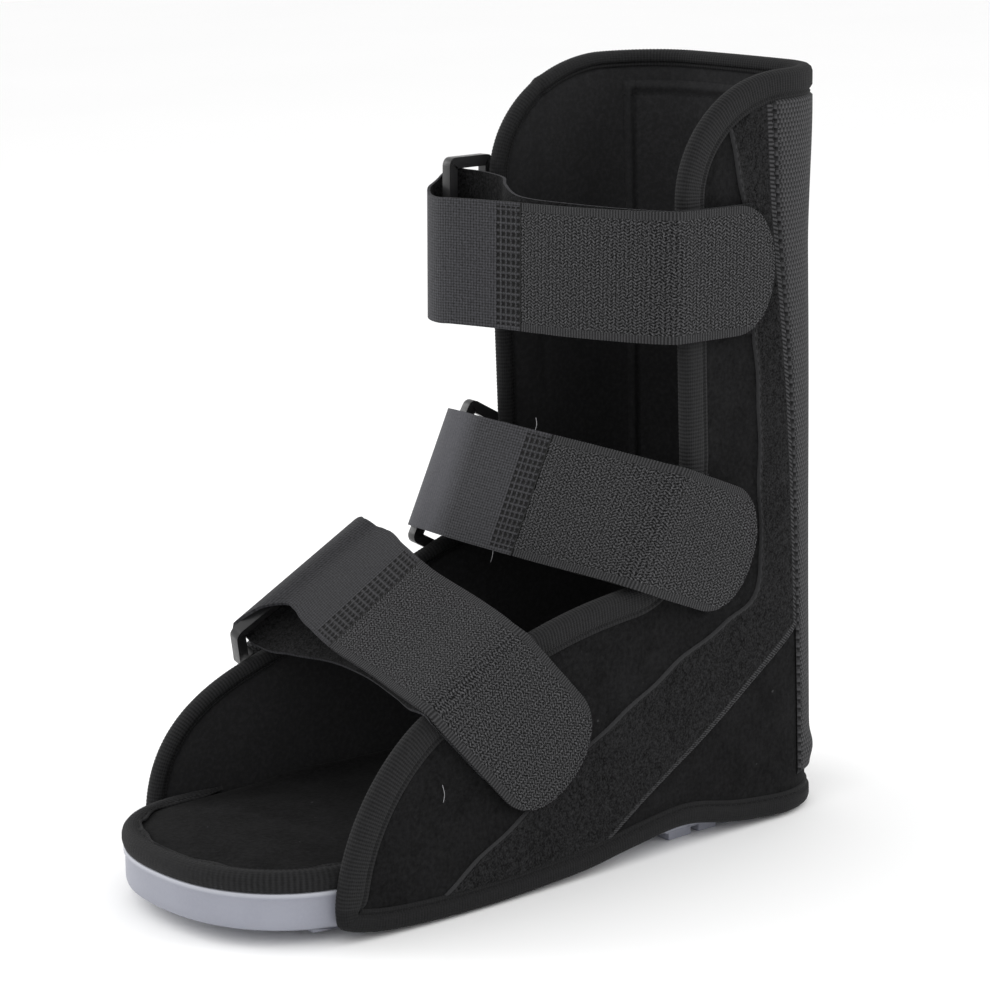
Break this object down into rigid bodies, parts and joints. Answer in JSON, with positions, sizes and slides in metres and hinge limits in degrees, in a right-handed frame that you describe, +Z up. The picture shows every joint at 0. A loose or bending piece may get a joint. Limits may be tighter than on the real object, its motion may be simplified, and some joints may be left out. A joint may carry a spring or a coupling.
{
  "type": "ankle fixation shoe",
  "caption": "Open-front padded ankle support shoe: a U-shaped felt wall on a rocker sole, closed by wide hook-and-loop straps that turn back through plastic rings.",
  "frame": {"origin": "the point of the floor under the middle of the fore tread, on the middle line of the sole", "axes": "+Z up from the floor, the toe points to -Y and the heel to +Y, +X is the wearer's left, where the straps close"},
  "size_m": [0.1435, 0.2917, 0.2992],
  "materials": {
    "felt": "brushed felt face on foam",
    "tape": "cross-ribbed binding tape",
    "loop": "brushed loop pile",
    "tape_back": "fine woven tape with a light sheen",
    "webbing": "coarse woven webbing",
    "hook": "zigzag woven tape with plain selvages",
    "ring": "moulded, soft gloss",
    "sole": "moulded foam, satin"
  },
  "bodies": {
    "root": {"sole": "sole", "footbed": "felt", "footbed_binding": "tape", "upper": "felt", "upper_binding": "tape", "loop_strip_left": "loop", "loop_strip_right": "loop", "back_webbing": "webbing", "stay_pocket": "felt", "ring_top": "ring", "ring_tab_top": "webbing", "strap_top_hook": "hook", "strap_top_loop": "tape_back", "ring_middle": "ring", "ring_tab_middle": "webbing", "strap_middle_hook": "hook", "strap_middle_loop": "tape_back", "ring_lower": "ring", "ring_tab_lower": "webbing", "strap_lower_hook": "hook", "strap_lower_loop": "tape_back"}
  },
  "joints": []
}
